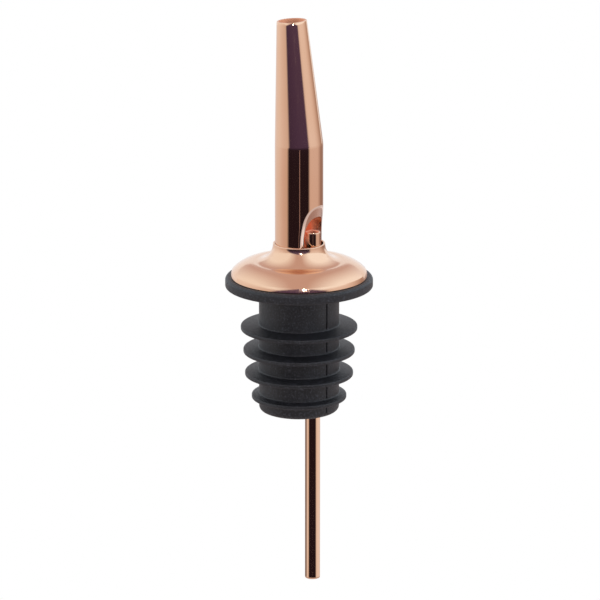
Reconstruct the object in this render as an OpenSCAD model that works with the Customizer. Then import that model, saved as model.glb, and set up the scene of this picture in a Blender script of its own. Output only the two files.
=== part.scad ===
// Free-flow bottle pourer: a tapered metal spout with a pressed-in vent, standing on a domed collar,
// over a ribbed rubber stopper that a thin breather tube passes through.
// Millimetres, +Z up. The origin is the centre of the flange's underside, where it meets the bottle's lip.
// The vent faces -Y and the spout leans towards +Y, the pouring side.

/* [Stopper] */
// Diameter of the flange that rests on the bottle's lip
flange_d = 32; // [31:0.5:38]
// Thickness of the flange
flange_h = 2.3; // [1.8:0.1:4]
// Radius of the flange's upper edge
flange_round = 0.8; // [0.2:0.1:0.9]
// Radius of the flange's lower edge
flange_under_round = 0.4; // [0.2:0.1:0.8]
// Diameter of the plug between the fins
plug_d = 17.4; // [15:0.1:19]
// Radius of the fillet under the flange
plug_fillet = 0.6; // [0.3:0.1:1.5]
// Diameter of the first fin, the one nearest the flange
fin_1_d = 25.3; // [22:0.1:28]
// Diameter of the second fin
fin_2_d = 24.2; // [21.5:0.1:28]
// Diameter of the third fin
fin_3_d = 23.5; // [21:0.1:28]
// Diameter of the fourth fin, which enters the bottle first
fin_4_d = 20.6; // [20:0.1:28]
// Depth of the first fin's middle below the flange
first_fin_depth = 9.1; // [6:0.1:14]
// Spacing of the fins
fin_pitch = 5.15; // [4:0.05:7]
// Thickness of a fin at its rim
fin_rim_t = 0.9; // [0.6:0.1:1.2]
// Thickness of a fin where it meets the plug
fin_root_t = 1.6; // [1.2:0.1:2.2]
// Radius of the edges of a fin's rim
fin_round = 0.25; // [0.1:0.05:0.3]
// Length of the plain foot below the middle of the last fin
foot_l = 3.2; // [2.4:0.1:8]
// Radius of the foot's lower edge
foot_round = 1; // [0.3:0.1:1.2]
// Chamfer at the two ends of the bore
bore_chamfer = 0.5; // [0.2:0.1:0.8]

/* [Stem] */
// Wall of the stem
stem_wall = 0.45; // [0.3:0.05:0.8]
// Thickness of the disc that closes the dome from below
stem_disc_t = 0.45; // [0.3:0.05:0.5]
// How far the stem's lower end lies above the foot's lower face
stem_inset = 0.9; // [0.3:0.1:6]

/* [Dome] */
// Diameter of the dome's rim
dome_d = 29.6; // [27:0.2:31]
// Thickness of the dome's sheet
dome_wall = 0.4; // [0.3:0.05:0.6]
// Height of the straight band at the rim
dome_band = 0.45; // [0.1:0.05:0.6]
// Radius of the shoulder above the rim
shoulder_r = 1; // [0.8:0.1:2]
// Slope of the sheet where the shoulder runs into the crown, in degrees
shoulder_slope = 47; // [44:1:50]
// Radius of the crown's profile
crown_r = 6.9; // [6:0.1:8]
// Radius of the hollow sweep from the crown up to the neck
neck_sweep_r = 3.9; // [3:0.1:4.5]
// Height of the straight neck above that sweep
neck_h = 0.15; // [0.1:0.05:4]

/* [Spout] */
// Outer diameter of the straight part of the spout
spout_d = 10.4; // [9:0.1:11.5]
// Wall of the spout
spout_wall = 0.5; // [0.3:0.05:0.6]
// Length of the straight part above the neck
straight_l = 21.7; // [14:0.1:40]
// Length of the tapered part, along its own axis
taper_l = 27; // [18:0.1:45]
// Outer diameter of the tip
tip_d = 6.5; // [5:0.1:8]
// Lean of the tapered part towards the pouring side, in degrees
lean = 4; // [0:0.1:8]
// How far the spout's lower end reaches into the stem
spout_engage = 4.5; // [2:0.1:12]

/* [Vent] */
// Width of the vent's mouth
vent_w = 7.5; // [7.3:0.1:8.4]
// Height of the mouth's crown above the neck
vent_h = 8.7; // [7.6:0.1:12]
// Width of the deep pocket inside the mouth
pocket_w = 6.9; // [5.4:0.1:7]
// Height of the pocket's crown above the neck
pocket_h = 6.4; // [4.5:0.1:7]
// Radius of the pocket's inner corners
pocket_corner_r = 1.3; // [0.6:0.1:2]
// Depth of the step at the crown of the mouth
panel_step = 0.2; // [0.1:0.05:0.4]
// Slope of the sunk panel between mouth and pocket, in degrees from upright
panel_tilt = 14; // [6:1:20]

/* [Breather] */
// Outer diameter of the breather tube
breather_d = 3.3; // [2.6:0.05:3.6]
// Wall of the breather tube
breather_wall = 0.4; // [0.25:0.05:0.6]
// Height of the breather's upper end above the neck
breather_rise = 3.3; // [1:0.1:4]
// Length of the breather below the foot
breather_drop = 38; // [5:0.5:80]
// Height of the solder that seals the breather inside the neck
solder_h = 3; // [1:0.1:4]
// How far the solder lies below the neck's upper edge
solder_inset = 0.8; // [0.3:0.1:2]

/* [Fits] */
// Radial clearance between metal pieces that are soldered together
join_clearance = 0.04; // [0.02:0.01:0.08]
// Radial clearance of the stem in the stopper's bore
slide_clearance = 0.05; // [0.02:0.01:0.1]
// Clearance between the collar and the flange that it rests on
seat_clearance = 0.05; // [0.02:0.01:0.1]

/* [Hidden] */

$fn = 96;
arc_steps = 8;
cut_margin = 2;

// How much thinner the cone is than one that just touches the bend's sphere, so the two cross in a circle
bend_bite = 0.01;

copper = [0.86, 0.60, 0.47];
solder_grey = [0.72, 0.68, 0.64];
rubber_black = [0.15, 0.15, 0.16];

// Radii of the nested tubes, from the spout outwards
spout_r = spout_d / 2;
spout_bore_r = spout_r - spout_wall;
neck_bore_r = spout_r + join_clearance;
neck_r = neck_bore_r + dome_wall;
stem_bore_r = spout_r + join_clearance;
stem_r = stem_bore_r + stem_wall;
stopper_bore_r = stem_r + slide_clearance;

// Stopper heights, all below the flange's underside
plug_r = plug_d / 2;
fin_d = [fin_1_d, fin_2_d, fin_3_d, fin_4_d];
fin_count = len(fin_d);
fin_z = [for (i = [0 : fin_count - 1]) -(first_fin_depth + i * fin_pitch)];
foot_z = fin_z[fin_count - 1] - foot_l;

// Dome profile: shoulder, crown and neck sweep are arcs that meet tangentially
seat_z = flange_h + seat_clearance;
shoulder_x = dome_d / 2 - shoulder_r;
shoulder_z = seat_z + dome_band;
crown_start = 90 - shoulder_slope;
crown_x = shoulder_x - (crown_r - shoulder_r) * cos(crown_start);
crown_z = shoulder_z - (crown_r - shoulder_r) * sin(crown_start);
sweep_x = neck_r + neck_sweep_r;
crown_end = acos((sweep_x - crown_x) / (crown_r + neck_sweep_r));
sweep_z = crown_z + (crown_r + neck_sweep_r) * sin(crown_end);
neck_z = sweep_z + neck_h;

// Stem heights
stem_top_z = seat_z + stem_disc_t;
stem_end_z = foot_z + stem_inset;
stem_disc_r = shoulder_x + (shoulder_r - dome_wall) * cos(crown_start) - join_clearance;

// Spout heights, and the half-angle of a cone that leaves the bend's sphere tangentially
spout_end_z = stem_top_z - spout_engage;
bend_z = neck_z + straight_l;
tip_r = tip_d / 2;
taper_half_angle = asin(spout_r / norm([taper_l, tip_r])) - atan2(tip_r, taper_l);

// Vent heights, and the breather that stands flush in its pocket
vent_top_z = neck_z + vent_h;
pocket_top_z = neck_z + pocket_h;
panel_top_r = spout_r - panel_step;
panel_low_r = panel_top_r - (vent_top_z - pocket_top_z) * tan(panel_tilt);
breather_r = breather_d / 2;
breather_y = -(spout_r - breather_r);
breather_top_z = neck_z + breather_rise;
breather_end_z = foot_z - breather_drop;
pocket_floor_y = breather_y + breather_r + join_clearance;
solder_top_z = neck_z - solder_inset;

// Points along an arc about [x, z], from angle a to angle b
function arc(x, z, r, a, b) =
    [for (i = [0 : arc_steps]) let (t = a + (b - a) * i / arc_steps) [x + r * cos(t), z + r * sin(t)]];

// One fin's outline, from its root's upper corner round the rim to its lower corner
function fin_outline(d, z) = concat(
    [[plug_r, z + fin_root_t / 2]],
    arc(d / 2 - fin_round, z + fin_rim_t / 2 - fin_round, fin_round, 90, 0),
    arc(d / 2 - fin_round, z - fin_rim_t / 2 + fin_round, fin_round, 0, -90),
    [[plug_r, z - fin_root_t / 2]]
);

// The dome's profile, moved inwards by a distance: the outer skin at 0, the inner skin at its wall
function dome_skin(inset) = concat(
    [[dome_d / 2 - inset, seat_z]],
    arc(shoulder_x, shoulder_z, shoulder_r - inset, 0, crown_start),
    arc(crown_x, crown_z, crown_r - inset, crown_start, crown_end),
    arc(sweep_x, sweep_z, neck_sweep_r + inset, 180 + crown_end, 180),
    [[neck_r - inset, neck_z]]
);

function reversed(list) = [for (i = [len(list) - 1 : -1 : 0]) list[i]];

// A moulded rubber plug with four fins under a flange, bored through for the stem
module stopper() {
    outline = concat(
        [[stopper_bore_r + bore_chamfer, flange_h]],
        arc(flange_d / 2 - flange_round, flange_h - flange_round, flange_round, 90, 0),
        arc(flange_d / 2 - flange_under_round, flange_under_round, flange_under_round, 0, -90),
        arc(plug_r + plug_fillet, -plug_fillet, plug_fillet, 90, 180),
        [for (i = [0 : fin_count - 1]) each fin_outline(fin_d[i], fin_z[i])],
        arc(plug_r - foot_round, foot_z + foot_round, foot_round, 0, -90),
        [[stopper_bore_r + bore_chamfer, foot_z]],
        [[stopper_bore_r, foot_z + bore_chamfer]],
        [[stopper_bore_r, flange_h - bore_chamfer]]
    );
    color(rubber_black) rotate_extrude() polygon(outline);
}

// The tube that carries the stopper, with the disc at its head that closes the dome
module stem_tube() {
    color(copper) difference() {
        union() {
            translate([0, 0, stem_end_z]) cylinder(r = stem_r, h = stem_top_z - stem_end_z);
            translate([0, 0, seat_z]) cylinder(r = stem_disc_r, h = stem_disc_t);
        }
        translate([0, 0, stem_end_z - cut_margin])
            cylinder(r = stem_bore_r, h = stem_top_z - stem_end_z + 2 * cut_margin);
    }
}

// The pressed dome, swept up to the neck that holds the spout
module dome_collar() {
    color(copper) rotate_extrude() polygon(concat(dome_skin(0), reversed(dome_skin(dome_wall))));
}

// The spout's round form at a distance inside its outer skin: a straight tube, a bend and a cone
module spout_form(inset, overrun) {
    bend_r = spout_r - inset;
    cone_start = bend_r * sin(taper_half_angle);
    cone_end = taper_l + overrun;
    start_r = bend_r * cos(taper_half_angle) - bend_bite;
    end_r = (bend_r - cone_end * sin(taper_half_angle)) / cos(taper_half_angle) - bend_bite;
    translate([0, 0, spout_end_z - overrun]) cylinder(r = bend_r, h = bend_z - spout_end_z + overrun);
    translate([0, 0, bend_z]) {
        sphere(r = bend_r);
        rotate([-lean, 0, 0]) translate([0, 0, cone_start])
            cylinder(r1 = start_r, r2 = end_r, h = cone_end - cone_start);
    }
}

// A round-topped arch, cut along Y from the spout's outside to the plane y = depth_y
module arch(w, top_z, depth_y) {
    length = spout_r + cut_margin + depth_y;
    low_z = spout_end_z - cut_margin;
    translate([0, depth_y, 0]) rotate([90, 0, 0]) linear_extrude(length) {
        translate([0, top_z - w / 2]) circle(d = w);
        translate([-w / 2, low_z]) square([w, top_z - w / 2 - low_z]);
    }
}

// An upright channel with rounded inner corners, open towards the outside of the spout
module channel(w, corner_r, floor_y) {
    low_z = spout_end_z - cut_margin;
    length = spout_r + cut_margin + floor_y;
    translate([0, floor_y, low_z]) linear_extrude(vent_top_z - low_z) {
        for (side = [-1, 1])
            translate([side * (w / 2 - corner_r), -corner_r]) circle(r = corner_r);
        translate([-(w / 2 - corner_r), -length]) square([w - 2 * corner_r, length]);
        translate([-w / 2, -length]) square([w, length - corner_r]);
    }
}

// What stays of the spout behind the sunk panel: upright beside the pocket, sloping out to the mouth's crown
module panel_core(grow) {
    low_r = panel_low_r - grow;
    top_r = panel_top_r - grow;
    low_z = spout_end_z - 2 * cut_margin;
    high_z = vent_top_z + grow + cut_margin;
    rotate_extrude() polygon([
        [0, low_z],
        [low_r, low_z],
        [low_r, pocket_top_z],
        [top_r, vent_top_z],
        [top_r, high_z],
        [0, high_z]
    ]);
}

// The pressed-in vent: a deep pocket under a round arch, below a sunk panel that slopes in from the mouth.
// Grown by the wall, it is also the form that stands in the spout's bore.
module vent_pocket(grow) {
    floor_y = pocket_floor_y + grow;
    intersection() {
        arch(pocket_w + 2 * grow, pocket_top_z + grow, floor_y);
        channel(pocket_w + 2 * grow, pocket_corner_r + grow, floor_y);
    }
    difference() {
        arch(vent_w + 2 * grow, vent_top_z + grow, floor_y);
        panel_core(grow);
    }
}

// The spout: straight, then tapering and leaning to the pouring side, with the vent pressed into its back
module spout_tube() {
    color(copper) difference() {
        spout_form(0, 0);
        vent_pocket(0);
        difference() {
            spout_form(spout_wall, cut_margin);
            vent_pocket(spout_wall);
        }
    }
}

// The air tube, open at both ends, from the vent down into the bottle
module breather_tube() {
    length = breather_top_z - breather_end_z;
    color(copper) translate([0, breather_y, breather_end_z]) difference() {
        cylinder(r = breather_r, h = length);
        translate([0, 0, -cut_margin]) cylinder(r = breather_r - breather_wall, h = length + 2 * cut_margin);
    }
}

// The solder that fills the pocket round the breather inside the neck, so that no liquid leaves by the vent
module vent_solder() {
    color(solder_grey) difference() {
        intersection() {
            channel(pocket_w - 2 * join_clearance, pocket_corner_r, pocket_floor_y);
            translate([0, 0, solder_top_z - solder_h]) cylinder(r = spout_r, h = solder_h);
        }
        translate([0, breather_y, solder_top_z - solder_h - cut_margin])
            cylinder(r = breather_r + join_clearance, h = solder_h + 2 * cut_margin);
    }
}

stopper();
stem_tube();
dome_collar();
spout_tube();
breather_tube();
vent_solder();
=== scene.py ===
"""Looks of a free-flow bottle pourer: plated spout, dome and breather over a moulded rubber stopper."""
import logging
import math
from collections.abc import Callable, Iterable, Iterator, Sequence
from contextlib import contextmanager
from dataclasses import dataclass
from enum import Enum

import bmesh
import bpy
from mathutils import Matrix, Vector


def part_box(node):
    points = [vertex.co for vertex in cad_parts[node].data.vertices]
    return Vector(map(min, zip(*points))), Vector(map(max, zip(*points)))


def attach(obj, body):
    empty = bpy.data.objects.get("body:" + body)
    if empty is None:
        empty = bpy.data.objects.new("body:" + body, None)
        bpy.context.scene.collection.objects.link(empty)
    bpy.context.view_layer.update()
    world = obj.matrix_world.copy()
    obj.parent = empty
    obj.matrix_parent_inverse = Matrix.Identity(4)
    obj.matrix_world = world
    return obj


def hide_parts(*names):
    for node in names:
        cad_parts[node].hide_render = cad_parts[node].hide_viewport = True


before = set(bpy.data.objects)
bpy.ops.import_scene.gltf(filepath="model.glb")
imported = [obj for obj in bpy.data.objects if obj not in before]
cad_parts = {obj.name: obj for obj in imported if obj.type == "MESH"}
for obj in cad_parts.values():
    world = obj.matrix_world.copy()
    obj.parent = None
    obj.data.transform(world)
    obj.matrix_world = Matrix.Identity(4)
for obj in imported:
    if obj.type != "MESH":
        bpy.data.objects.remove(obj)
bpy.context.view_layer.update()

LOG = logging.getLogger("pourer")
MM = 0.001
WELD = 0.0002 * MM
UP = Vector((0.0, 0.0, 1.0))

Point = tuple[float, float]
Colour = tuple[float, float, float]
OutlinePoint = tuple[float, float, float]
Stop = tuple[float, Colour]
Inputs = dict[str | int, object]
Row = list[bmesh.types.BMVert]
Material = bpy.types.Material
Piece = bpy.types.Object
Socket = bpy.types.NodeSocket


class Body(Enum):
    """The two bodies that the joint moves apart."""

    STOPPER = "stopper"
    POURER = "pourer"


class Slot(Enum):
    """The record's material slots that the new pieces use."""

    COPPER = "copper_plate"
    RUBBER = "rubber"


class PaintedLightZone(Enum):
    """Parts of the plated pieces, marked point by point, whose tones are painted light and shade, each with a
    roughness of its own.
    """

    # Painted reflection: the sunk panel is painted a darker brown, as though it mirrored dimmer surroundings.
    PANEL = ("panel", (0.52, 0.29, 0.21), 0.2)
    # Painted shade: the pocket is painted red, for the shade and copper interreflection deep inside it.
    POCKET = ("pocket", (0.80, 0.15, 0.055), 0.62)
    # Painted highlight: the lip's bend is painted paler, for the light that it catches.
    LIP = ("lip", (0.97, 0.77, 0.66), 0.12)
    # Painted shade: the taper's bore is painted redder and darker, for the shade inside the tube.
    BORE = ("bore", (0.82, 0.40, 0.24), 0.6)

    def __init__(self, attribute: str, tone: Colour, roughness: float) -> None:
        """Name the zone's values.

        Args:
            attribute: The mesh attribute that marks the zone's points.
            tone: The tone painted there in place of light: painted shade, reflection or highlight.
            roughness: The metal's roughness there.
        """
        self.attribute = attribute
        self.tone = tone
        self.roughness = roughness


# Shares and directions


def between(start: float, end: float, share: float) -> float:
    """The number at a share of the way from one to another."""
    return start + (end - start) * share


def shares(steps: int, first: int = 1) -> list[float]:
    """The share of a whole that is reached at each of its even steps, from the first one to the last."""
    return [i / steps for i in range(first, steps + 1)]


def direction(azimuth: float, elevation: float = 0.0) -> Vector:
    """The direction at an angle from +X and an angle over the horizon, both in degrees."""
    a, e = math.radians(azimuth), math.radians(elevation)
    return Vector((math.cos(a) * math.cos(e), math.sin(a) * math.cos(e), math.sin(e)))


def grey(level: float) -> Colour:
    """A neutral colour of one level."""
    return (level, level, level)


# Node graphs


class Graph:
    """A node tree that is filled by hand, one node after another."""

    def __init__(self, tree: bpy.types.NodeTree) -> None:
        """Empty the tree of a material or of the world."""
        self.tree = tree
        tree.nodes.clear()

    def add(self, kind: str, sockets: Inputs | None = None, **settings: object) -> bpy.types.Node:
        """Add a node.

        Args:
            kind: The node's type name, without its ShaderNode prefix.
            sockets: What goes into its inputs, by name or number: a value, or another node's output.
            settings: Properties of the node itself.

        Returns:
            The new node.
        """
        node = self.tree.nodes.new("ShaderNode" + kind)
        for name, value in settings.items():
            setattr(node, name, value)
        for name, value in (sockets or {}).items():
            if isinstance(value, Socket):
                self.tree.links.new(value, node.inputs[name])
            else:
                node.inputs[name].default_value = value
        return node

    def place(self, kind: str = "Object") -> Socket:
        """The coordinates of one kind."""
        return self.add("TexCoord").outputs[kind]

    def axis(self, place: Socket, name: str) -> Socket:
        """One axis of a place."""
        return self.add("SeparateXYZ", {"Vector": place}).outputs[name]

    def mark(self, name: str) -> Socket:
        """The number that a mesh carries at its points under a name."""
        return self.add("Attribute", attribute_name=name).outputs["Fac"]

    def noise(self, place: Socket, scale: float, detail: float, roughness: float = 0.5) -> Socket:
        """A noise pattern over a place."""
        sockets = {"Vector": place, "Scale": scale, "Detail": detail, "Roughness": roughness}
        return self.add("TexNoise", sockets).outputs["Fac"]

    def bump(self, height: Socket, strength: float, depth: float) -> Socket:
        """The normals of a surface that a pattern raises by up to a depth."""
        return self.add("Bump", {"Height": height, "Strength": strength, "Distance": depth}).outputs["Normal"]

    def ramp(self, factor: Socket, stops: Iterable[Stop]) -> Socket:
        """Add a colour ramp.

        Args:
            factor: What drives the ramp.
            stops: Places from 0 to 1 and the colours there.

        Returns:
            The ramp's colour socket.
        """
        node = self.add("ValToRGB", {"Fac": factor})
        elements = node.color_ramp.elements
        wanted = list(stops)
        while len(elements) < len(wanted):
            elements.new(1.0)
        for element, (place, colour) in zip(elements, wanted):
            element.position = place
            element.color = (*colour, 1.0)
        return node.outputs["Color"]

    def remap(self, value: Socket, source: Point, target: Point = (0.0, 1.0)) -> Socket:
        """Map one range of values onto another.

        Args:
            value: The socket to map.
            source: The range that comes in.
            target: The range that goes out.

        Returns:
            The mapped socket.
        """
        sockets = {"From Min": source[0], "From Max": source[1], "To Min": target[0], "To Max": target[1]}
        return self.add("MapRange", {"Value": value, **sockets}).outputs["Result"]

    def blend(self, mark: Socket, plain: Socket, marked: float | Colour | Socket) -> Socket:
        """Turn a number or a colour into another where a mark is set.

        Args:
            mark: How far the mark is set, from 0 to 1.
            plain: The number or colour where it isn't.
            marked: The number, the colour or the colour's socket where it is.

        Returns:
            The blended number or colour.
        """
        if isinstance(marked, float):
            node = self.add("Mix", {"Factor": mark, "A": plain, "B": marked}, data_type="FLOAT")
            return node.outputs["Result"]
        colour = marked if isinstance(marked, Socket) else (*marked, 1.0)
        return self.add("MixRGB", {"Fac": mark, "Color1": plain, "Color2": colour}).outputs["Color"]

    def glow(self, tone: Colour | Socket) -> Socket:
        """A glow of one tone, or of the tone that a socket gives."""
        colour = tone if isinstance(tone, Socket) else (*tone, 1.0)
        return self.add("Emission", {"Color": colour}).outputs["Emission"]

    def mix(self, share: Socket, first: Socket, second: Socket) -> Socket:
        """A mix of two shaders, with the second's share from 0 to 1."""
        return self.add("MixShader", {"Fac": share, 1: first, 2: second}).outputs["Shader"]

    def surface(self, shader: Socket, kind: str = "OutputMaterial") -> None:
        """Use a shader as the surface."""
        self.add(kind, {"Surface": shader})

    def solid(self, tone: Socket, gloss: Socket, normal: Socket, values: dict[str, float]) -> None:
        """Use a solid, opaque finish as the surface.

        Args:
            tone: Its base colour.
            gloss: Its roughness.
            normal: Its bumps.
            values: Constant values of the shader's other sockets by name.
        """
        sockets = {"Base Color": tone, "Roughness": gloss, "Normal": normal, **values}
        self.surface(self.add("BsdfPrincipled", sockets).outputs["BSDF"])


def new_material(name: str) -> tuple[Material, Graph]:
    """A new material and its empty graph.

    Args:
        name: The material's name.

    Returns:
        The material and its graph.
    """
    material = bpy.data.materials.new(name)
    material.use_nodes = True
    return material, Graph(material.node_tree)


# Finishes


@dataclass(frozen=True)
class PlatedCopper:
    """Mirror-bright copper plating over drawn metal: soft tone drift, draw lines and a slight peel, with
    painted shade, reflection and highlight where zones are marked.
    """

    name: str = "copper_plating"
    tone: Colour = (0.83, 0.535, 0.365)
    warm_tone: Colour = (0.80, 0.495, 0.325)
    drift_scale: float = 45.0
    drift_detail: float = 3.0
    drift_span: Point = (0.35, 0.65)
    line_scale: float = 2600.0
    line_detail: float = 2.0
    line_span: Point = (0.3, 0.7)
    line_stretch: float = 0.012
    line_depth: float = 0.004 * MM
    line_strength: float = 0.06
    roughness: Point = (0.03, 0.075)

    def build(self) -> Material:
        """Make the material.

        Returns:
            The plated metal.
        """
        material, graph = new_material(self.name)
        place = graph.place()
        drift = graph.noise(place, self.drift_scale, self.drift_detail)
        stretch = (1.0, 1.0, self.line_stretch)
        along = graph.add("Mapping", {"Vector": place, "Scale": stretch}).outputs["Vector"]
        lines = graph.noise(along, self.line_scale, self.line_detail)
        tone = graph.ramp(drift, zip(self.drift_span, (self.tone, self.warm_tone)))
        gloss = graph.remap(lines, self.line_span, self.roughness)
        # Painted light: each marked zone's painted shade, reflection or highlight replaces the tone, and its
        # roughness replaces the gloss.
        for zone in PaintedLightZone:
            mark = graph.mark(zone.attribute)
            gloss = graph.blend(mark, gloss, zone.roughness)
            tone = graph.blend(mark, tone, zone.tone)
        normal = graph.bump(lines, self.line_strength, self.line_depth)
        graph.solid(tone, gloss, normal, {"Metallic": 1.0})
        return material


@dataclass(frozen=True)
class MouldedRubber:
    """Charcoal rubber with the fine spark grain of an etched mould, its grain's specks painted lighter as
    glints.
    """

    name: str = "moulded_rubber"
    tone: Colour = (0.0045, 0.0045, 0.006)
    pale_tone: Colour = (0.009, 0.009, 0.0115)
    # Painted glints: the tone of the grain's pale specks.
    painted_glint_tone: Colour = (0.042, 0.042, 0.052)
    mottle_scale: float = 260.0
    mottle_detail: float = 4.0
    mottle_roughness: float = 0.6
    mottle_span: Point = (0.35, 0.7)
    grain_scale: float = 3000.0
    grain_detail: float = 3.0
    grain_roughness: float = 0.65
    grain_span: Point = (0.3, 0.7)
    grain_depth: float = 0.08 * MM
    grain_strength: float = 0.9
    painted_glint_span: Point = (0.52, 0.68)
    roughness: Point = (0.38, 0.60)
    gloss: float = 0.5

    def build(self) -> Material:
        """Make the material.

        Returns:
            The rubber.
        """
        material, graph = new_material(self.name)
        place = graph.place()
        mottle = graph.noise(place, self.mottle_scale, self.mottle_detail, self.mottle_roughness)
        grain = graph.noise(place, self.grain_scale, self.grain_detail, self.grain_roughness)
        plain = graph.ramp(mottle, zip(self.mottle_span, (self.tone, self.pale_tone)))
        # Painted glints: the grain's highest specks are painted lighter.
        painted_glints = graph.ramp(grain, zip(self.painted_glint_span, (grey(0.0), grey(1.0))))
        tone = graph.blend(painted_glints, plain, self.painted_glint_tone)
        gloss = graph.remap(grain, self.grain_span, self.roughness)
        normal = graph.bump(grain, self.grain_strength, self.grain_depth)
        graph.solid(tone, gloss, normal, {"Specular IOR Level": self.gloss})
        return material


@dataclass(frozen=True)
class DullSolder:
    """Solder that set with a frosted, slightly rippled skin, plated over with the rest."""

    name: str = "dull_solder"
    tone: Colour = (0.52, 0.24, 0.14)
    bright_tone: Colour = (0.70, 0.37, 0.24)
    frost_scale: float = 900.0
    frost_detail: float = 5.0
    frost_roughness: float = 0.6
    frost_span: Point = (0.3, 0.7)
    ripple_depth: float = 0.06 * MM
    ripple_strength: float = 0.5
    roughness: Point = (0.28, 0.55)

    def build(self) -> Material:
        """Make the material.

        Returns:
            The solder.
        """
        material, graph = new_material(self.name)
        frost = graph.noise(graph.place(), self.frost_scale, self.frost_detail, self.frost_roughness)
        tone = graph.ramp(frost, zip(self.frost_span, (self.tone, self.bright_tone)))
        gloss = graph.remap(frost, self.frost_span, self.roughness)
        normal = graph.bump(frost, self.ripple_strength, self.ripple_depth)
        graph.solid(tone, gloss, normal, {"Metallic": 1.0})
        return material


@dataclass(frozen=True)
class StudioFloor:
    """A pale floor that is white where the camera sees it, and dimmer and warmer in mirrors."""

    name: str = "studio_floor"
    tone: Colour = (0.85, 0.85, 0.85)
    mirror_tone: Colour = (0.62, 0.54, 0.53)

    def build(self) -> Material:
        """Make the material.

        Returns:
            The floor.
        """
        material, graph = new_material(self.name)
        rays = graph.add("LightPath").outputs
        matte = graph.add("BsdfDiffuse", {"Color": (*self.tone, 1.0)}).outputs["BSDF"]
        kinds = {0: rays["Is Glossy Ray"], 1: rays["Is Transmission Ray"]}
        mirrored = graph.add("Math", kinds, operation="MAXIMUM").outputs["Value"]
        lit = graph.mix(mirrored, matte, graph.glow(self.mirror_tone))
        graph.surface(graph.mix(rays["Is Camera Ray"], lit, graph.glow(grey(1.0))))
        return material


@dataclass(frozen=True)
class HorizonPaint:
    """The studio's far walls: soft boxes and dim corners round the object, paler with height."""

    sole_z: float = -0.33
    foot_z: float = -0.30
    head_z: float = 0.16
    box: Colour = (1.05, 1.12, 1.18)
    wing: Colour = (0.96, 0.97, 1.02)
    pale: Colour = (0.82, 0.78, 0.79)
    blush: Colour = (0.72, 0.60, 0.58)
    warm: Colour = (0.66, 0.54, 0.48)
    shade: Colour = (0.24, 0.20, 0.19)
    dusk: Colour = (0.30, 0.19, 0.16)
    attribute: str = "around"

    def share(self, right: float) -> float:
        """Where an angle to the right of the camera lies on the walls' rings, from 0 to 1."""
        return right / 360.0 + 0.5

    def sole(self) -> list[Stop]:
        """The tones under the walls' foot, which the breather mirrors, by their angles to the right."""
        left = [(-180.0, self.blush), (-140.0, self.shade), (-115.0, self.shade), (-80.0, self.wing)]
        right = [(60.0, self.pale), (85.0, self.wing), (120.0, self.wing), (150.0, self.pale)]
        return left + [(-60.0, self.warm), (40.0, self.warm)] + right + [(180.0, self.blush)]

    def foot(self) -> list[Stop]:
        """The tones at the walls' foot, which the straight spout mirrors."""
        left = [(-180.0, self.blush), (-150.0, self.pale), (-110.0, self.pale), (-82.0, self.blush)]
        right = [(62.0, self.blush), (100.0, self.blush), (128.0, self.dusk), (150.0, self.dusk)]
        return left + [(-60.0, self.warm), (40.0, self.warm)] + right + [(180.0, self.blush)]

    def head(self) -> list[Stop]:
        """The tones at the walls' head, which the taper mirrors."""
        left = [(-180.0, self.box), (-105.0, self.box), (-78.0, self.wing), (-55.0, self.pale)]
        right = [(40.0, self.pale), (60.0, self.wing), (85.0, self.wing), (128.0, self.warm)]
        return left + right + [(150.0, self.wing), (180.0, self.box)]

    def build(self) -> Material:
        """Make the material.

        Returns:
            The walls' paint.
        """
        material, graph = new_material("studio_walls")
        height = graph.axis(graph.place(), "Z")
        around = graph.mark(self.attribute)
        rings = (self.sole(), self.foot(), self.head())
        placed = [[(self.share(right), tone) for right, tone in ring] for ring in rings]
        sole, foot, head = (graph.ramp(around, ring) for ring in placed)
        low = graph.blend(graph.remap(height, (self.sole_z, self.foot_z)), sole, foot)
        tone = graph.blend(graph.remap(height, (self.foot_z, self.head_z)), low, head)
        graph.surface(graph.glow(tone))
        return material


@dataclass(frozen=True)
class GapPaint:
    """The dark gap between the soft boxes: dark in the middle and clear at its soft edges."""

    low_z: float
    high_z: float
    tones: tuple[Stop, ...]
    edges: tuple[Point, ...] = ((-1.14, 0.0), (-1.03, 0.5), (-0.94, 1.0), (0.9, 1.0), (1.0, 0.5), (1.08, 0.0))
    reach: float = 1.6
    attribute: str = "reach"

    def share(self, reach: float) -> float:
        """Where a place between the gap's edges, at -1 and 1, lies on the ramp."""
        return min(max(0.5 + 0.5 * reach / self.reach, 0.0), 1.0)

    def build(self) -> Material:
        """Make the material.

        Returns:
            The gap's paint.
        """
        material, graph = new_material("studio_gap")
        height = graph.remap(graph.axis(graph.place(), "Z"), (self.low_z, self.high_z))
        span = self.high_z - self.low_z
        dark = graph.glow(graph.ramp(height, [((z - self.low_z) / span, tone) for z, tone in self.tones]))
        edges = [(self.share(reach), grey(level)) for reach, level in self.edges]
        clear = graph.add("BsdfTransparent").outputs["BSDF"]
        graph.surface(graph.mix(graph.ramp(graph.mark(self.attribute), edges), clear, dark))
        return material


@dataclass(frozen=True)
class PlainPaint:
    """One even glow."""

    name: str
    tone: Colour

    def build(self) -> Material:
        """Make the material.

        Returns:
            The paint.
        """
        material, graph = new_material(self.name)
        graph.surface(graph.glow(self.tone))
        return material


# Modelling by hand


def activate(piece: Piece) -> None:
    """Select one piece alone and make it the active one.

    Args:
        piece: The piece.
    """
    bpy.ops.object.select_all(action="DESELECT")
    piece.select_set(True)
    bpy.context.view_layer.objects.active = piece


@contextmanager
def editing(piece: Piece) -> Iterator[None]:
    """Edit one piece, with all of it selected at the start.

    Args:
        piece: The mesh object to edit.
    """
    activate(piece)
    bpy.ops.object.mode_set(mode="EDIT")
    bpy.ops.mesh.select_mode(type="VERT")
    bpy.ops.mesh.select_all(action="SELECT")
    yield
    bpy.ops.object.mode_set(mode="OBJECT")


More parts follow.
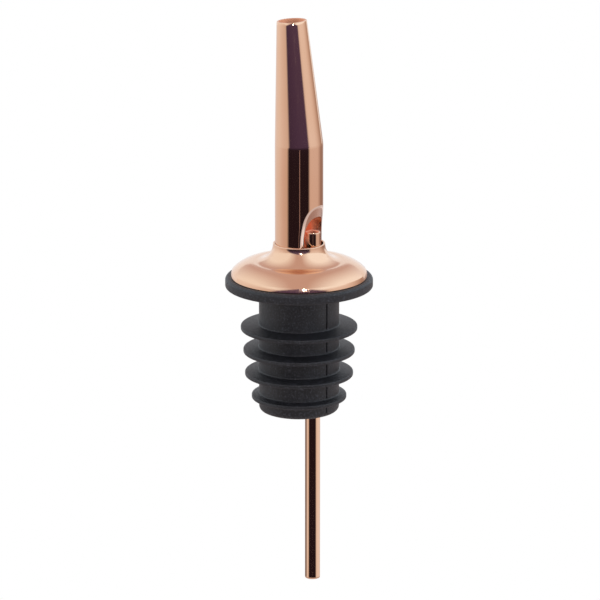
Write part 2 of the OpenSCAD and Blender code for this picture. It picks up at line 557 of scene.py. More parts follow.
def round_edges(piece: Piece, wanted: Callable[[Vector, Vector], bool], radius: float, steps: int) -> None:
    """Round some edges of a piece.

    Args:
        piece: The piece.
        wanted: Says whether the edge between two points is rounded.
        radius: How wide the rounding is.
        steps: How many strips it has.
    """
    with editing(piece):
        bpy.ops.mesh.select_mode(type="EDGE")
        bpy.ops.mesh.select_all(action="DESELECT")
        mesh = bmesh.from_edit_mesh(piece.data)
        for edge in mesh.edges:
            if wanted(edge.verts[0].co, edge.verts[1].co):
                edge.select_set(True)
        bmesh.update_edit_mesh(piece.data)
        bpy.ops.mesh.bevel(offset=radius, segments=steps, affect="EDGES")


def round_ends(piece: Piece, ends: Point, radius: float, axis_y: float = 0.0, steps: int = 4) -> None:
    """Round the rims at the two ends of a turned piece.

    Args:
        piece: The piece.
        ends: The heights of its ends.
        radius: How wide the rounding is.
        axis_y: Where its axis stands on Y.
        steps: How many strips the rounding has.
    """

    def on_end(a: Vector, b: Vector) -> bool:
        """Whether an edge runs round one of the ends."""
        level = abs(a.z - b.z) < WELD and min(abs(a.z - z) for z in ends) < WELD
        return level and abs(math.hypot(a.x, a.y - axis_y) - math.hypot(b.x, b.y - axis_y)) < WELD

    round_edges(piece, on_end, radius, steps)


def arc(centre: Point, radius: float, start: float, end: float, steps: int) -> list[Point]:
    """Points along an arc.

    Args:
        centre: The arc's centre.
        radius: Its radius.
        start: The angle it starts at, in degrees.
        end: The angle it ends at, in degrees.
        steps: How many chords it has.

    Returns:
        The points, both ends included.
    """
    angles = [math.radians(between(start, end, share)) for share in shares(steps, 0)]
    return [(centre[0] + radius * math.cos(a), centre[1] + radius * math.sin(a)) for a in angles]


def lathe(
    name: str,
    outline: Sequence[Point],
    steps: int,
    axis_y: float = 0.0,
    start: float = 0.0,
    sweep: float = 360.0,
) -> Piece:
    """Draw an outline by extruding a point along it, and spin it about an upright axis.

    Args:
        name: The new object's name.
        outline: Radius and height of each point.
        steps: How many steps the spin has.
        axis_y: Where the axis stands on Y.
        start: The azimuth at which the outline is drawn, in degrees from +X.
        sweep: The angle of the spin, in degrees.

    Returns:
        The spun object.
    """
    bpy.ops.mesh.primitive_plane_add(size=MM)
    piece = bpy.context.object
    piece.name = name
    places = [direction(start) * r + Vector((0.0, axis_y, z)) for r, z in outline]
    with editing(piece):
        bpy.ops.mesh.merge(type="CENTER")
        bpy.ops.transform.translate(value=places[0])
        for here, there in zip(places, places[1:]):
            bpy.ops.mesh.extrude_region_move(TRANSFORM_OT_translate={"value": there - here})
        bpy.ops.mesh.select_all(action="SELECT")
        bpy.ops.mesh.remove_doubles(threshold=WELD)
        bpy.ops.mesh.spin(steps=steps, angle=-math.radians(sweep), center=(0.0, axis_y, 0.0), axis=UP)
        bpy.ops.mesh.select_all(action="SELECT")
        bpy.ops.mesh.remove_doubles(threshold=WELD)
        bpy.ops.mesh.normals_make_consistent(inside=False)
    return piece


def mark_points(piece: Piece, name: str, value: Callable[[Vector], float]) -> None:
    """Give every point of a piece a number that its finish reads.

    Args:
        piece: The piece to mark.
        name: The attribute's name.
        value: Works out the number at a point.
    """
    marks = piece.data.attributes.new(name, "FLOAT", "POINT")
    for vertex in piece.data.vertices:
        marks.data[vertex.index].value = value(vertex.co)


def dress(piece: Piece, finish: Material) -> None:
    """Give a piece one finish all over."""
    piece.data.materials.clear()
    piece.data.materials.append(finish)


def install(piece: Piece, finish: Material, body: Body, node: str, sharp: float = 40.0) -> Piece:
    """Shade and dress a modelled piece, and let it stand for a CAD node.

    Args:
        piece: The modelled piece.
        finish: Its finish.
        body: The body that it rides on.
        node: The CAD node that it replaces.
        sharp: The angle in degrees over which its edges are shaded sharp.

    Returns:
        The piece.
    """
    activate(piece)
    bpy.ops.object.shade_smooth_by_angle(angle=math.radians(sharp))
    dress(piece, finish)
    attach(piece, body.value)
    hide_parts(node)
    LOG.info("%s: %d faces, stands for %s", piece.name, len(piece.data.polygons), node)
    return piece


# The pourer's pieces


@dataclass
class Spout:
    """The plated tube: straight, then tapering and leaning, with the vent pressed into its back."""

    neck_z: float
    radius: float = 5.2 * MM
    wall: float = 0.5 * MM
    straight_l: float = 21.7 * MM
    taper_l: float = 27.0 * MM
    tip_r: float = 3.25 * MM
    lean: float = 4.0
    low_z: float = -1.7 * MM
    arch_power: float = 2.8
    spring_z: float = 10.2 * MM
    vent_w: float = 8.6 * MM
    vent_h: float = 8.9 * MM
    pocket_w: float = 6.6 * MM
    pocket_h: float = 6.4 * MM
    pocket_floor_y: float = -1.86 * MM
    pocket_flare: float = 1.5 * MM
    rim_depth: float = 0.42 * MM
    # How much of the pocket's painted shade its rim already has.
    rim_painted_shade: float = 0.3
    lip_side: float = 0.95 * MM
    lip_crown: float = 0.3 * MM
    lip_power: int = 3
    lip_side_depth: float = 0.5 * MM
    lip_crown_depth: float = 0.12 * MM
    lip_softness: float = 0.15
    # How far into the lip its painted highlight takes to fade in.
    lip_highlight_fade: float = 0.25
    field_h: float = 4.0 * MM
    tip_round: float = 0.08 * MM
    ring: int = 192
    side_rows: int = 36
    field_steps: int = 36
    lip_steps: int = 10
    panel_steps: int = 6
    pocket_steps: int = 18
    floor_steps: int = 8
    straight_steps: int = 12
    bend_steps: int = 10
    taper_steps: int = 40
    tip_steps: int = 3

    def __post_init__(self) -> None:
        """Work out the heights, the taper's axis and half angle, and the outline of the arch."""
        self.vent_top = self.neck_z + self.vent_h
        self.pocket_top = self.neck_z + self.pocket_h
        self.field_top = self.vent_top + self.field_h
        self.bend = UP * (self.neck_z + self.straight_l)
        self.axis = self.leaning(1.0) @ UP
        reach = math.hypot(self.taper_l, self.tip_r)
        self.half_angle = math.asin(self.radius / reach) - math.atan2(self.tip_r, self.taper_l)
        self.outline = self.arch_outline()

    def leaning(self, share: float) -> Matrix:
        """The turn by a share of the lean to the pouring side."""
        return Matrix.Rotation(-math.radians(self.lean) * share, 3, "X")

    def arch_outline(self) -> list[OutlinePoint]:
        """The arch that every contour follows, from lower left round the crown to lower right.

        Returns:
            For each point its sideways share, its upward share and its share of the straight side.
        """
        rows = [i / self.side_rows for i in range(self.side_rows)]
        turns = [math.pi * share for share in shares(self.ring, 0)]
        power = 2.0 / self.arch_power
        left = [(-1.0, 0.0, share) for share in rows]
        across = [-math.copysign(abs(math.cos(a)) ** power, math.cos(a)) for a in turns]
        up = [abs(math.sin(a)) ** power for a in turns]
        crown = [(x, z, 1.0) for x, z in zip(across, up)]
        return left + crown + [(1.0, 0.0, share) for share in reversed(rows)]

    def arch(self, point: OutlinePoint, half_w: float, top: float) -> Point:
        """Where a point of the outline lies on an arch.

        Args:
            point: One point of the outline.
            half_w: Half the arch's width.
            top: The height of its crown.

        Returns:
            X and Z.
        """
        across, up, share = point
        if share == 1.0:
            return across * half_w, between(self.spring_z, top, up)
        return across * half_w, between(self.low_z, self.spring_z, share)

    def sunk(self, x: float, depth: float) -> float:
        """Where a surface lies on Y that is sunk below the round skin by a depth."""
        return -math.sqrt((self.radius - depth) ** 2 - x * x)

    def field(self, share: float) -> list[Vector]:
        """A contour on the round skin, between the tube's far side and the lip.

        Args:
            share: 0 at the far side and the field's top, 1 at the lip.

        Returns:
            The contour's points.
        """
        points = []
        last = len(self.outline) - 1
        for i, point in enumerate(self.outline):
            turn = (i - self.side_rows) / self.ring
            far_angle = math.pi * (2.0 * min(max(turn, 0.0), 1.0) - 1.0)
            side = min(i, last - i, self.side_rows) / self.side_rows
            x, z = self.arch(point, self.vent_w / 2, self.vent_top)
            a = between(far_angle, math.asin(x / self.radius), share)
            height = between(between(self.low_z, self.field_top, side), z, share)
            points.append(Vector((self.radius * math.sin(a), -self.radius * math.cos(a), height)))
        return points

    def lip_edge(self, point: OutlinePoint) -> Point:
        """How wide the lip's bend is at a point of the outline, and how deep it goes."""
        width = between(self.lip_side, self.lip_crown, point[1] ** self.lip_power)
        return width, between(self.lip_side_depth, self.lip_crown_depth, point[1])

    def lip(self, share: float) -> list[Vector]:
        """A contour on the lip, which bends in softly and then runs straight.

        Args:
            share: 0 at the skin and 1 at the panel.

        Returns:
            The contour's points.
        """
        points = []
        soft = self.lip_softness
        fall = (math.hypot(share, soft) - soft) / (math.hypot(1.0, soft) - soft)
        for point in self.outline:
            width, depth = self.lip_edge(point)
            x, z = self.arch(point, self.vent_w / 2 - width * share, self.vent_top - width * share)
            points.append(Vector((x, self.sunk(x, depth * fall), z)))
        return points

    def panel(self, share: float) -> list[Vector]:
        """A contour on the sunk panel.

        Args:
            share: 0 at the lip and 1 at the pocket's rim.

        Returns:
            The contour's points.
        """
        points = []
        for point in self.outline:
            width, depth = self.lip_edge(point)
            outer = self.arch(point, self.vent_w / 2 - width, self.vent_top - width)
            inner = self.arch(point, self.pocket_w / 2, self.pocket_top)
            x, z = (between(a, b, share) for a, b in zip(outer, inner))
            points.append(Vector((x, self.sunk(x, between(depth, self.rim_depth, share)), z)))
        return points

    def pocket(self, share: float) -> list[Vector]:
        """A contour on the pocket's wall, which flares from the floor to the rim.

        Args:
            share: 0 at the rim and 1 at the floor.

        Returns:
            The contour's points.
        """
        points = []
        turn = share * math.pi / 2
        inset = self.pocket_flare * (1.0 - math.cos(turn))
        for point in self.outline:
            rim_y = self.sunk(self.arch(point, self.pocket_w / 2, self.pocket_top)[0], self.rim_depth)
            x, z = self.arch(point, self.pocket_w / 2 - inset, self.pocket_top - inset)
            points.append(Vector((x, between(rim_y, self.pocket_floor_y, math.sin(turn)), z)))
        return points

    def floor(self, share: float) -> list[Vector]:
        """A contour on the pocket's flat floor.

        Args:
            share: 0 at the floor's edge and 1 at its middle line.

        Returns:
            The contour's points.
        """
        half_w = (self.pocket_w / 2 - self.pocket_flare) * (1.0 - share)
        crown = self.pocket_top - self.pocket_w / 2 + half_w
        places = [self.arch(point, half_w, crown) for point in self.outline]
        return [Vector((x, self.pocket_floor_y, z)) for x, z in places]

    def circle(self, along: float, radius: float, lean: float) -> list[Vector]:
        """A ring of the tube.

        Args:
            along: How far past the bend it lies, up the axis.
            radius: Its radius.
            lean: The share of the lean that it has.

        Returns:
            The ring's points, from the far side round to it again.
        """
        turned = self.leaning(lean)
        angles = [math.pi * (2.0 * share - 1.0) for share in shares(self.ring, 0)]
        places = [Vector((radius * math.sin(a), -radius * math.cos(a), along)) for a in angles]
        return [self.bend + turned @ place for place in places]

    def tube(self) -> list[list[Vector]]:
        """The rings above the vent: straight tube, bend and taper.

        Returns:
            The rings from low to high.
        """
        rings = []
        for share in shares(self.straight_steps):
            rings.append(self.circle(between(self.field_top - self.bend.z, 0.0, share), self.radius, 0.0))
        start = self.radius * math.sin(self.half_angle)
        for share in shares(self.bend_steps):
            along = start * share
            rings.append(self.circle(along, math.sqrt(self.radius**2 - along**2), share))
        for share in shares(self.taper_steps):
            along = between(start, self.taper_l, share)
            radius = (self.radius - along * math.sin(self.half_angle)) / math.cos(self.half_angle)
            rings.append(self.circle(along, radius, 1.0))
        return rings

    def contours(self) -> list[tuple[list[Vector], PaintedLightZone | None, float]]:
        """Every contour round the vent, from the tube's far side in to the pocket's middle line.

        Returns:
            Each contour's points, the zone of painted light that they are marked as, and how far.
        """
        steps = [(self.field(share), None, 0.0) for share in shares(self.field_steps, 0)]
        # The lip's painted highlight fades in over the first part of the bend.
        for share in shares(self.lip_steps):
            steps.append((self.lip(share), PaintedLightZone.LIP, min(share / self.lip_highlight_fade, 1.0)))
        # The panel is painted all over with its darker reflection.
        steps += [(self.panel(share), PaintedLightZone.PANEL, 1.0) for share in shares(self.panel_steps)]
        # The pocket's painted shade grows from its rim down to the floor, which is painted in full.
        for share in shares(self.pocket_steps):
            steps.append((self.pocket(share), PaintedLightZone.POCKET, between(self.rim_painted_shade, 1.0, share)))
        return steps + [(self.floor(share), PaintedLightZone.POCKET, 1.0) for share in shares(self.floor_steps)]

    def skin(self) -> Piece:
        """Loft the outer skin through its contours and rings.

        The sheet is pressed in round an arch, which no primitive gives, so its skin is lofted.

        Returns:
            The open skin, welded along its seams.
        """
        mesh = bmesh.new()
        zones = (PaintedLightZone.LIP, PaintedLightZone.PANEL, PaintedLightZone.POCKET)
        marks = {zone: mesh.verts.layers.float.new(zone.attribute) for zone in zones}

        def row(points: Sequence[Vector], zone: PaintedLightZone | None = None, level: float = 0.0) -> Row:
            """Add one contour's points, each marked with the painted light of the zone that it lies in."""
            made = [mesh.verts.new(point) for point in points]
            for vertex in made if zone else ():
                vertex[marks[zone]] = level
            return made

        def join(rows: Sequence[Row]) -> None:
            """Bridge each row with the next by faces."""
            for low, high in zip(rows, rows[1:]):
                for corners in zip(low, low[1:], high[1:], high):
                    mesh.faces.new(corners)

        rows = [row(*contour) for contour in self.contours()]
        join(rows)
        top = rows[0][self.side_rows : self.side_rows + self.ring + 1]
        join([top] + [row(points) for points in self.tube()])
        data = bpy.data.meshes.new("spout")
        mesh.to_mesh(data)
        mesh.free()
        piece = bpy.data.objects.new("spout", data)
        bpy.context.collection.objects.link(piece)
        with editing(piece):
            bpy.ops.mesh.remove_doubles(threshold=WELD)
            bpy.ops.mesh.dissolve_degenerate(threshold=WELD)
            bpy.ops.mesh.normals_make_consistent(inside=False)
        return piece

    def taper_place(self, point: Vector) -> Point:
        """How far up the taper's axis a point lies, and how far out from it."""
        along = (point - self.bend).dot(self.axis)
        return along, (point - self.bend - self.axis * along).length

    def in_bore(self, point: Vector) -> float:
        """Whether a point lies in the bore of the taper, where a redder, darker tone is painted as shade and
        the plating is rougher: 1 or 0.
        """
        along, out = self.taper_place(point)
        return float(along > 0.0 and out < self.radius - along * math.tan(self.half_angle) - self.wall / 2)

    def on_tip(self, a: Vector, b: Vector) -> bool:
        """Whether an edge runs round the tip's rim."""
        (low, inner), (high, outer) = self.taper_place(a), self.taper_place(b)
        return min(low, high) > self.taper_l - self.wall / 4 and abs(inner - outer) < self.wall / 4

    def build(self, finish: Material) -> Piece:
        """Model the spout and dress it.

        Args:
            finish: The plated metal.

        Returns:
            The finished piece.
        """
        piece = self.skin()
        activate(piece)
        wall = piece.modifiers.new("wall", "SOLIDIFY")
        wall.thickness = self.wall
        wall.offset = -1.0
        bpy.ops.object.modifier_apply(modifier=wall.name)
        # Painted shade: the taper's bore gets a redder, darker tone.
        mark_points(piece, PaintedLightZone.BORE.attribute, self.in_bore)
        round_edges(piece, self.on_tip, self.tip_round, self.tip_steps)
        piece.visible_glossy = False
        return install(piece, finish, Body.POURER, "spout_tube")


@dataclass
class Dome:
    """The pressed dome, swept up to the neck that holds the spout."""

    rim_r: float = 14.8 * MM
    wall: float = 0.4 * MM
    seat_z: float = 2.35 * MM
    band: float = 0.45 * MM
    shoulder_r: float = 1.0 * MM
    shoulder_slope: float = 47.0
    crown_r: float = 6.9 * MM
    sweep_r: float = 3.9 * MM
    neck_r: float = 5.64 * MM
    neck_h: float = 0.15 * MM
    edge_leans: Point = (7.0, 17.0)
    edge_round: float = 0.12 * MM
    roughness: Point = (0.09, 0.15)
    edge_steps: int = 12
    shoulder_steps: int = 14
    crown_steps: int = 30
    sweep_steps: int = 24
    steps: int = 256

    def edge(self, low: Point, high: Point) -> list[Point]:
        """The rim's outer edge: a gentle lean, then a tight turn into the crown.

        Args:
            low: Where the rim stands on the flange.
            high: Where the crown begins.

        Returns:
            The edge's points.
        """
        a, b, c = (math.radians(lean) for lean in (*self.edge_leans, 90.0 - self.shoulder_slope))
        up, back = high[1] - low[1], low[0] - high[0]
        rows = Matrix(((math.sin(b) - math.sin(a), math.sin(c) - math.sin(b)),
                       (math.cos(a) - math.cos(b), math.cos(b) - math.cos(c))))
        points = [low]
        for radius, start, end in zip(rows.inverted() @ Vector((up, back)), (a, b), (b, c)):
            r, z = points[-1]
            centre = (r - radius * math.cos(start), z - radius * math.sin(start))
            points += arc(centre, radius, math.degrees(start), math.degrees(end), self.edge_steps)[1:]
        return points

    def outline(self, inset: float) -> list[Point]:
        """The dome's profile, moved inwards by a distance.

        Args:
            inset: 0 for the outer skin, the wall for the inner one.

        Returns:
            The profile from the rim to the neck's top.
        """
        shoulder = (self.rim_r - self.shoulder_r, self.seat_z + self.band)
        first = 90.0 - self.shoulder_slope
        gap = self.crown_r - self.shoulder_r
        turn = math.radians(first)
        crown = (shoulder[0] - gap * math.cos(turn), shoulder[1] - gap * math.sin(turn))
        sweep_x = self.neck_r + self.sweep_r
        last = math.degrees(math.acos((sweep_x - crown[0]) / (self.crown_r + self.sweep_r)))
        sweep = (sweep_x, crown[1] + (self.crown_r + self.sweep_r) * math.sin(math.radians(last)))
        points = [(self.rim_r - inset, self.seat_z)]
        points += arc(shoulder, self.shoulder_r - inset, 0.0, first, self.shoulder_steps)
        if not inset:
            points = self.edge(points[0], points[-1])
        points += arc(crown, self.crown_r - inset, first, last, self.crown_steps)[1:]
        points += arc(sweep, self.sweep_r + inset, 180.0 + last, 180.0, self.sweep_steps)[1:]
        return points + [(self.neck_r - inset, sweep[1] + self.neck_h)]

    def neck_z(self) -> float:
        """The height of the neck's upper edge."""
        return self.outline(0.0)[-1][1]

    def build(self) -> Piece:
        """Model the dome and dress it in plating that is a little duller than the spout's.

        Returns:
            The finished piece.
        """
        outer, inner = self.outline(0.0), self.outline(self.wall)
        piece = lathe("dome", outer + inner[::-1] + outer[:1], self.steps)
        round_ends(piece, (self.seat_z, self.neck_z()), self.edge_round)
        finish = PlatedCopper("dome_plating", roughness=self.roughness).build()
        return install(piece, finish, Body.POURER, "dome_collar")


@dataclass
class Breather:
    """The thin air tube from the vent down into the bottle."""

    wall: float = 0.4 * MM
    edge_round: float = 0.15 * MM
    support: float = 0.4 * MM
    top_trim: float = 0.35 * MM
    # Painted shade and red reflection on the tube's top: how far down, on which side, and how far round.
    painted_shade_l: float = 4.3 * MM
    painted_shade_azimuth: float = 124.0
    painted_shade_reach: Point = (0.3, 0.75)
    bore_painted_shade: float = 0.7
    rows: int = 12
    steps: int = 96

    def build(self, finish: Material) -> Piece:
        """Model the tube where its CAD node stands, and dress it.

        Args:
            finish: The plated metal.

        Returns:
            The finished piece.
        """
        low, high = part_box("breather_tube")
        top = high.z - self.top_trim
        painted_shade_z = top - self.painted_shade_l
        radius = (high.x - low.x) / 2
        axis_y = (low.y + high.y) / 2
        rows = [between(low.z, top, share) for share in shares(self.rows)]
        extra = [low.z + self.support, painted_shade_z - self.support, painted_shade_z, top - self.support]
        heights = sorted([low.z, *rows, *extra])
        outline = [(radius, z) for z in heights] + [(radius - self.wall, z) for z in reversed(heights)]
        piece = lathe("breather", outline + outline[:1], self.steps, axis_y)
        round_ends(piece, (low.z, top), self.edge_round, axis_y)

        def painted_shade_at(point: Vector) -> float:
            """How much painted shade and red reflection a point gets: the top's bore, and the side in the
            pocket.
            """
            out = Vector((point.x, point.y - axis_y))
            if point.z < painted_shade_z + WELD:
                return 0.0
            if out.length < radius - self.wall / 2:
                return self.bore_painted_shade
            low_reach, high_reach = self.painted_shade_reach
            reach = out.dot(direction(self.painted_shade_azimuth).xy) / radius
            return min(max((reach - low_reach) / (high_reach - low_reach), 0.0), 1.0)

        # Painted shade: the top of the tube is reddened where the pocket would reflect on it and in its bore.
        mark_points(piece, PaintedLightZone.POCKET.attribute, painted_shade_at)
        piece.visible_glossy = False
        return install(piece, finish, Body.POURER, "breather_tube")


@dataclass
class Stopper:
    """The rubber moulding: flange, plug, four fins, foot, and the mould's parting line."""

    flange_r: float = 15.99 * MM
    flange_h: float = 2.3 * MM
    flange_round: float = 0.8 * MM
    under_round: float = 0.4 * MM
    plug_r: float = 8.7 * MM
    plug_fillet: float = 0.6 * MM
    fin_r: tuple[float, ...] = (12.65 * MM, 12.1 * MM, 11.75 * MM, 10.3 * MM)
    first_fin: float = 9.1 * MM
    fin_pitch: float = 5.15 * MM
    fin_rim_t: float = 0.9 * MM
    fin_root_t: float = 1.6 * MM
    fin_round: float = 0.25 * MM
    root_fillet: float = 0.35 * MM
    foot_l: float = 3.2 * MM
    foot_round: float = 1.0 * MM
    bore_r: float = 5.74 * MM
    bore_chamfer: float = 0.5 * MM
    parting_azimuth: float = 77.4
    parting_depth: float = 0.4 * MM
    sharp: float = 50.0
    fin_steps: int = 6
    fillet_steps: int = 8
    round_steps: int = 10
    steps: int = 256

    def fin(self, radius: float, z: float) -> list[Point]:
        """One fin's outline, from its upper root round the rim to its lower root.

        Args:
            radius: The fin's radius.
            z: The height of its middle.

        Returns:
            The outline's points.
        """
        rim = radius - self.fin_round
        half = self.fin_rim_t / 2 - self.fin_round
        slope = math.degrees(math.atan((self.fin_root_t - self.fin_rim_t) / 2 / (radius - self.plug_r)))
        root = self.plug_r + self.root_fillet
        rise = self.fin_root_t / 2 - self.root_fillet * math.tan(math.radians(slope)) + self.root_fillet
        points = arc((root, z + rise), self.root_fillet, 180.0, 270.0 - slope, self.fin_steps)
        points += arc((rim, z + half), self.fin_round, 90.0 - slope, 0.0, self.fin_steps)
        points += arc((rim, z - half), self.fin_round, 0.0, slope - 90.0, self.fin_steps)
        return points + arc((root, z - rise), self.root_fillet, 90.0 + slope, 180.0, self.fin_steps)

    def outline(self) -> list[Point]:
        """The stopper's profile.

        Returns:
            The closed profile, from the bore's top out over the flange and down to the foot.
        """
        last_fin = self.first_fin + (len(self.fin_r) - 1) * self.fin_pitch
        foot_z = -last_fin - self.foot_l
        mouth_r = self.bore_r + self.bore_chamfer
        rim = (self.flange_r - self.flange_round, self.flange_h - self.flange_round)
        under = (self.flange_r - self.under_round, self.under_round)
        corner = (self.plug_r + self.plug_fillet, -self.plug_fillet)
        foot = (self.plug_r - self.foot_round, foot_z + self.foot_round)
        points = [(mouth_r, self.flange_h)]
        points += arc(rim, self.flange_round, 90.0, 0.0, self.round_steps)
        points += arc(under, self.under_round, 0.0, -90.0, self.fillet_steps)
        points += arc(corner, self.plug_fillet, 90.0, 180.0, self.fillet_steps)
        for i, radius in enumerate(self.fin_r):
            points += self.fin(radius, -(self.first_fin + i * self.fin_pitch))
        points += arc(foot, self.foot_round, 0.0, -90.0, self.round_steps)
        points += [(mouth_r, foot_z), (self.bore_r, foot_z + self.bore_chamfer)]
        return points + [(self.bore_r, self.flange_h - self.bore_chamfer), points[0]]

    def on_parting(self, point: Vector) -> bool:
        """Whether a point lies on the plug where the two halves of the mould meet."""
        on_plug = abs(point.xy.length - self.plug_r) < WELD and point.z < -self.plug_fillet
        return on_plug and abs(point.xy.dot(direction(self.parting_azimuth).xy.orthogonal())) < WELD

    def build(self, finish: Material) -> Piece:
        """Model the stopper and dress it.

        Args:
            finish: The moulded rubber.

        Returns:
            The finished piece.
        """
        piece = lathe("rubber_stopper", self.outline(), self.steps, start=self.parting_azimuth)
        with editing(piece):
            bpy.ops.mesh.select_all(action="DESELECT")
            mesh = bmesh.from_edit_mesh(piece.data)
            for vertex in mesh.verts:
                vertex.select_set(self.on_parting(vertex.co))
            mesh.select_flush_mode()
            bmesh.update_edit_mesh(piece.data)
            share = 1.0 - self.parting_depth / self.plug_r
            bpy.ops.transform.resize(value=(share, share, 1.0), center_override=(0.0, 0.0, 0.0))
        return install(piece, finish, Body.STOPPER, "stopper", self.sharp)


@dataclass
class InnerMetal:
    """The stem and the solder, which keep their CAD solids and get their finishes."""

    stem: str = "stem_tube"
    solder: str = "vent_solder"

    def build(self, plated: Material, dull: Material) -> None:
        """Dress the two solids.

        Args:
            plated: The stem's finish.
            dull: The solder's finish.
        """
        for node, finish in ((self.stem, plated), (self.solder, dull)):
            dress(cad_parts[node], finish)
            LOG.info("%s: CAD solid, dressed as %s", node, finish.name)


# Studio and camera


@dataclass
class PhotoCamera:
    """The camera at the photograph's viewing angle."""

    azimuth: float = -56.0
    elevation: float = 15.5
    distance: float = 0.95
    photo_px: int = 600
    px: float = 0.2165 * MM
    target_z: float = -3.13 * MM
    target_right: float = 0.2 * MM
    sensor: float = 36.0
    clip_start: float = 9.5 * MM

    def back(self) -> Vector:
        """The direction from the object to the camera."""
        return direction(self.azimuth - 90.0, self.elevation)

    def right(self) -> Vector:
        """The picture's rightward direction."""
        return direction(self.azimuth)

    def build(self) -> None:
        """Make the camera and use it."""
        data = bpy.data.cameras.new("photo_camera")
        data.sensor_width = self.sensor
        data.lens = self.sensor * self.distance / (self.photo_px * self.px)
        data.clip_start = self.clip_start
        camera = bpy.data.objects.new("photo_camera", data)
        bpy.context.collection.objects.link(camera)
        target = UP * self.target_z + self.right() * self.target_right
        camera.location = target + self.back() * self.distance
        camera.rotation_euler = (-self.back()).to_track_quat("-Z", "Y").to_euler()
        bpy.context.scene.camera = camera


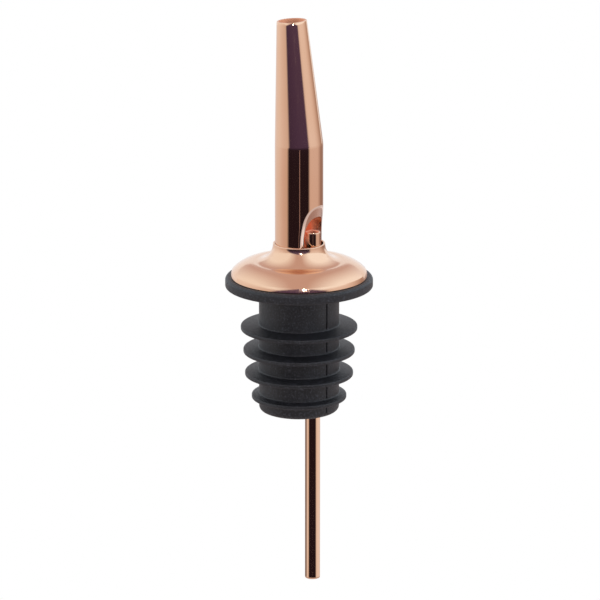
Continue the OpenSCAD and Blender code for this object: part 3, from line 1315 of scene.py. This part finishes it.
@dataclass
class Studio:
    """A white studio: pale floor, soft boxes left and right, a dark gap on the camera's side."""

    camera: PhotoCamera
    floor_z: float = -0.45
    floor_size: float = 12.0
    floor_cuts: int = 4
    wall_r: float = 1.05
    wall_sweep: float = 359.6
    gap_r: float = 1.0
    gap_reach: float = 85.0
    gap_foot_half: float = 56.0
    gap_waist_half: float = 46.5
    gap_least_half: float = 1.0
    gap_top_z: float = 0.325
    gap_top_power: float = 1.5
    gap_shift: float = 2.5
    gap_lean: float = 40.0
    gap_shifts: Point = (-1.7, 3.0)
    gap_dark: Colour = (0.02, 0.012, 0.018)
    gap_dark_z: float = -0.22
    gap_violet: Colour = (0.075, 0.05, 0.12)
    gap_violet_z: float = 0.02
    gap_haze: Colour = (0.17, 0.13, 0.25)
    sky_dim: Colour = (0.67, 0.54, 0.53)
    sky_left: Point = (0.18, 0.42)
    sky_right: Point = (0.57, 0.81)
    left_box: Colour = (1.05, 1.15, 1.22)
    right_box: Colour = (1.13, 1.30, 1.45)
    back_card: Colour = (1.0, 1.06, 1.12)
    back_z: Point = (-0.12, 0.33)
    back_right: Point = (138.0, 232.0)
    slit: Colour = (0.36, 0.27, 0.28)
    slit_r: float = 0.99
    slit_right: Point = (1.4, 4.6)
    slit_z: Point = (-0.262, -0.200)
    lamp_right: float = 9.0
    lamp_elevation: float = 13.0
    lamp_distance: float = 0.8
    lamp_size: float = 0.05
    lamp_power: float = 0.6
    top_power: float = 4.0
    top_size: float = 0.7
    top_height: float = 0.9
    card_rows: int = 24
    card_steps: int = 96

    def bearing(self, right: float) -> float:
        """The angle from +X of a direction, given by its angle to the right of the camera."""
        return self.camera.azimuth - 90.0 + right

    def right_of_camera(self, point: Vector) -> float:
        """How far to the right of the camera a point stands, in degrees from -180 to 180."""
        towards = direction(self.bearing(0.0))
        return math.degrees(math.atan2(point.dot(self.camera.right()), point.dot(towards)))

    def gap_place(self, point: Vector) -> float:
        """Where a point lies between the gap's edges, which are at -1 and 1.

        Args:
            point: A point of the gap's card.

        Returns:
            The place, past -1 or 1 outside the gap.
        """
        below = between(self.gap_waist_half, self.gap_foot_half, point.z / self.floor_z)
        above = self.gap_waist_half * (1.0 - max(point.z / self.gap_top_z, 0.0) ** self.gap_top_power)
        half = max(below if point.z < 0.0 else above, self.gap_least_half)
        shift = min(max(self.gap_shift + self.gap_lean * point.z, self.gap_shifts[0]), self.gap_shifts[1])
        return (self.right_of_camera(point) - shift) / half

    def card(self, name: str, heights: Point, right: Point, radius: float, paint: Material) -> Piece:
        """Stand a curved card round the object, which only mirrors see.

        Args:
            name: The card's name.
            heights: Its lower and upper edge.
            right: Where it starts and ends, in degrees to the right of the camera.
            radius: Its distance from the object's axis.
            paint: Its paint.

        Returns:
            The card.
        """
        outline = [(radius, between(*heights, share)) for share in shares(self.card_rows, 0)]
        piece = lathe(name, outline, self.card_steps, start=self.bearing(right[0]), sweep=right[1] - right[0])
        dress(piece, paint)
        piece.visible_camera = False
        piece.visible_shadow = False
        piece.visible_diffuse = False
        return piece

    def cards(self) -> None:
        """Stand the walls, the dark gap, the slit in it and the pale card behind the object."""
        walls = HorizonPaint()
        half = self.wall_sweep / 2
        heights = (self.floor_z, walls.head_z)
        card = self.card("studio_walls", heights, (-half, half), self.wall_r, walls.build())
        mark_points(card, walls.attribute, lambda point: walls.share(self.right_of_camera(point)))
        low, high = self.floor_z, self.gap_top_z
        dark = ((low, self.gap_dark), (self.gap_dark_z, self.gap_dark))
        gap = GapPaint(low, high, dark + ((self.gap_violet_z, self.gap_violet), (high, self.gap_haze)))
        reach = (-self.gap_reach, self.gap_reach)
        card = self.card("studio_gap", (low, high), reach, self.gap_r, gap.build())
        mark_points(card, gap.attribute, lambda point: gap.share(self.gap_place(point)))
        slit = PlainPaint("studio_slit", self.slit).build()
        self.card("studio_slit", self.slit_z, self.slit_right, self.slit_r, slit)
        back = PlainPaint("studio_back", self.back_card).build()
        self.card("studio_back", self.back_z, self.back_right, self.gap_r, back)

    def ground(self) -> None:
        """Lay the pale floor well below the object, which is held up."""
        bpy.ops.mesh.primitive_plane_add(size=self.floor_size, location=(0.0, 0.0, self.floor_z))
        floor = bpy.context.object
        floor.name = "studio_floor"
        with editing(floor):
            bpy.ops.mesh.subdivide(number_cuts=self.floor_cuts)
        dress(floor, StudioFloor().build())

    def sky(self) -> None:
        """Light the studio with a soft sky: dim overhead, bright where the soft boxes hang left and right."""
        world = bpy.data.worlds.new("studio_sky")
        bpy.context.scene.world = world
        world.use_nodes = True
        graph = Graph(world.node_tree)
        turn = (0.0, 0.0, -math.radians(self.camera.azimuth))
        sockets = {"Vector": graph.place("Generated"), "Rotation": turn}
        turned = graph.add("Mapping", sockets).outputs["Vector"]
        across = graph.remap(graph.axis(turned, "X"), (-1.0, 1.0))
        left = [(0.0, self.left_box), (self.sky_left[0], self.left_box), (self.sky_left[1], self.sky_dim)]
        first, last = self.sky_right
        right = [(first, self.sky_dim), (last, self.right_box), (1.0, self.right_box)]
        soft = graph.add("Background", {"Color": graph.ramp(across, left + right)}).outputs["Background"]
        white = graph.add("Background", {"Color": (*grey(1.0), 1.0)}).outputs["Background"]
        seen = graph.add("LightPath").outputs["Is Camera Ray"]
        graph.surface(graph.mix(seen, soft, white), "OutputWorld")

    def lamp(self, name: str, place: Vector, size: float, power: float, mirrored: bool) -> None:
        """Hang a round soft lamp that faces the object.

        Args:
            name: The lamp's name.
            place: Where it hangs.
            size: Its diameter.
            power: Its power in watts.
            mirrored: Whether it shows in the metal.
        """
        data = bpy.data.lights.new(name, "AREA")
        data.shape = "DISK"
        data.size = size
        data.energy = power
        lamp = bpy.data.objects.new(name, data)
        bpy.context.collection.objects.link(lamp)
        lamp.location = place
        lamp.visible_glossy = mirrored
        lamp.rotation_euler = (-place).to_track_quat("-Z", "Y").to_euler()

    def build(self) -> None:
        """Set the studio up."""
        self.ground()
        self.sky()
        self.cards()
        front = direction(self.bearing(self.lamp_right), self.lamp_elevation)
        self.lamp("front_lamp", front * self.lamp_distance, self.lamp_size, self.lamp_power, True)
        self.lamp("top_lamp", UP * self.top_height, self.top_size, self.top_power, False)
        bpy.context.scene.view_settings.view_transform = "Standard"


def main() -> None:
    """Build and dress every piece, then the studio and the camera."""
    logging.basicConfig(level=logging.INFO, format="%(name)s: %(message)s")
    plated = PlatedCopper().build()
    dome = Dome()
    dome.build()
    Spout(dome.neck_z()).build(plated)
    Breather().build(plated)
    Stopper().build(MouldedRubber().build())
    InnerMetal().build(plated, DullSolder().build())
    camera = PhotoCamera()
    Studio(camera).build()
    camera.build()


if __name__ == "__main__":
    main()
